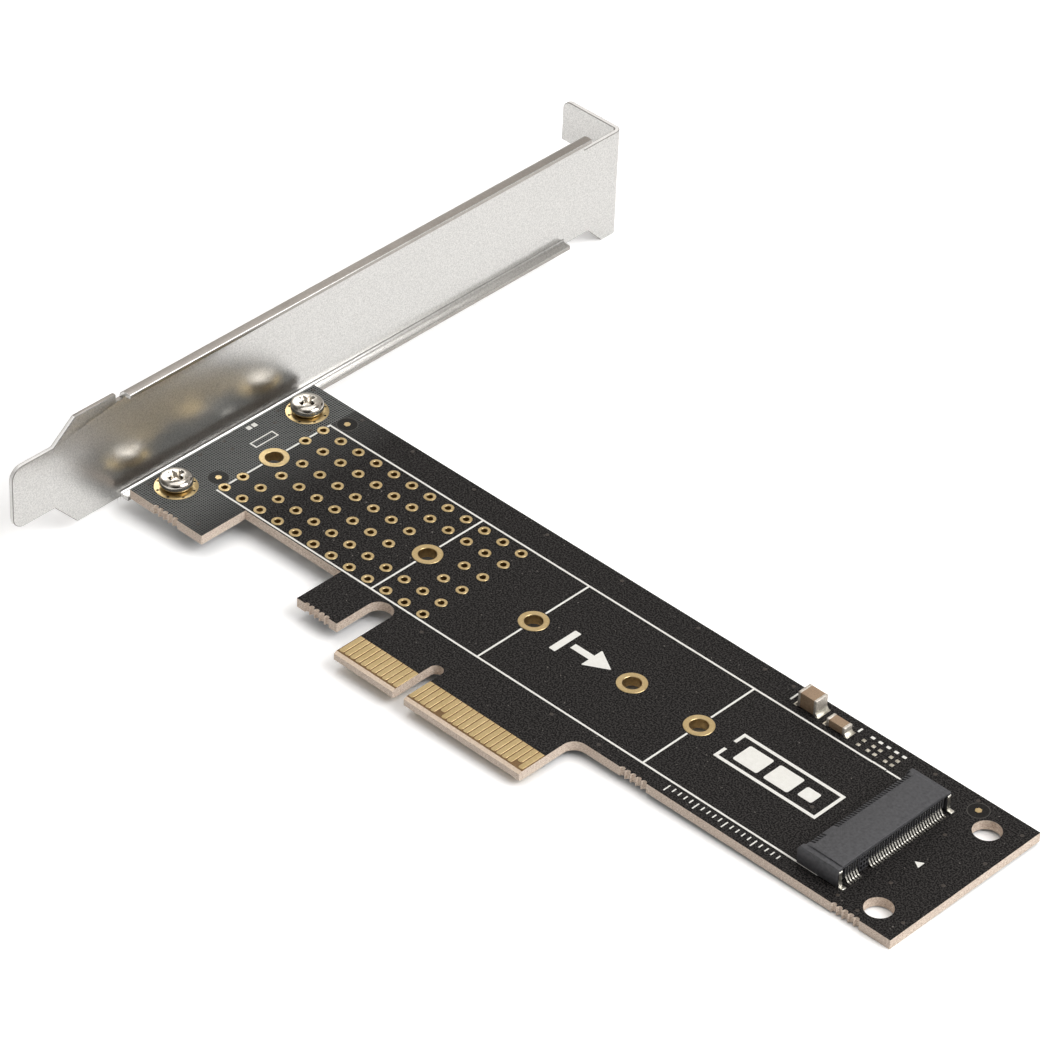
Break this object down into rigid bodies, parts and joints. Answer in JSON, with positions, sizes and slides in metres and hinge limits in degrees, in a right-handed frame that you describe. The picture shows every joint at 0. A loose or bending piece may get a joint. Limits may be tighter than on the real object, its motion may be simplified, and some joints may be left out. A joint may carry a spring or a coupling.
{
  "type": "nvme adapter card",
  "caption": "Long circuit board with a socket for a flat solid-state drive, a bevelled edge connector for an expansion slot and a folded metal slot bracket.",
  "frame": {"origin": "middle of the key notch, on the lower edge of the tongue, in the face that carries the components", "axes": "+X along the card away from the slot bracket, +Y up out of the expansion slot, +Z out of the component side"},
  "size_m": [0.1463, 0.1201, 0.0211],
  "materials": {
    "solder_mask": "black solder mask on glass-fibre laminate, tan at the cut edges",
    "white_ink": "printed white marking ink on the board",
    "gold": "thin bright gold plating",
    "bracket_steel": "satin nickel-plated sheet steel",
    "nickel": "bright nickel plating",
    "socket_plastic": "fine matte moulded plastic",
    "tin": "bright tinned metal and solder",
    "capacitor_ceramic": "tan-brown fired ceramic"
  },
  "bodies": {
    "root": {"circuit_board": "solder_mask", "edge_contacts_front": "gold", "edge_contacts_rear": "gold", "thermal_vias": "gold", "post_eyelet_110": "gold", "post_eyelet_80": "gold", "post_eyelet_60": "gold", "post_eyelet_42": "gold", "post_eyelet_30": "gold", "screw_pad_lower": "gold", "screw_pad_upper": "gold", "alignment_dots": "gold", "slot_bracket": "bracket_steel", "bracket_screw_lower": "nickel", "bracket_screw_upper": "nickel", "socket_housing": "socket_plastic", "socket_contacts_upper": "tin", "socket_contacts_lower": "tin", "hold_down_lower": "tin", "hold_down_upper": "tin", "large_capacitor": "capacitor_ceramic", "large_capacitor_ends": "tin", "large_capacitor_solder": "tin", "small_capacitor": "capacitor_ceramic", "small_capacitor_ends": "tin", "small_capacitor_solder": "tin", "spare_pads": "tin"}
  },
  "joints": []
}
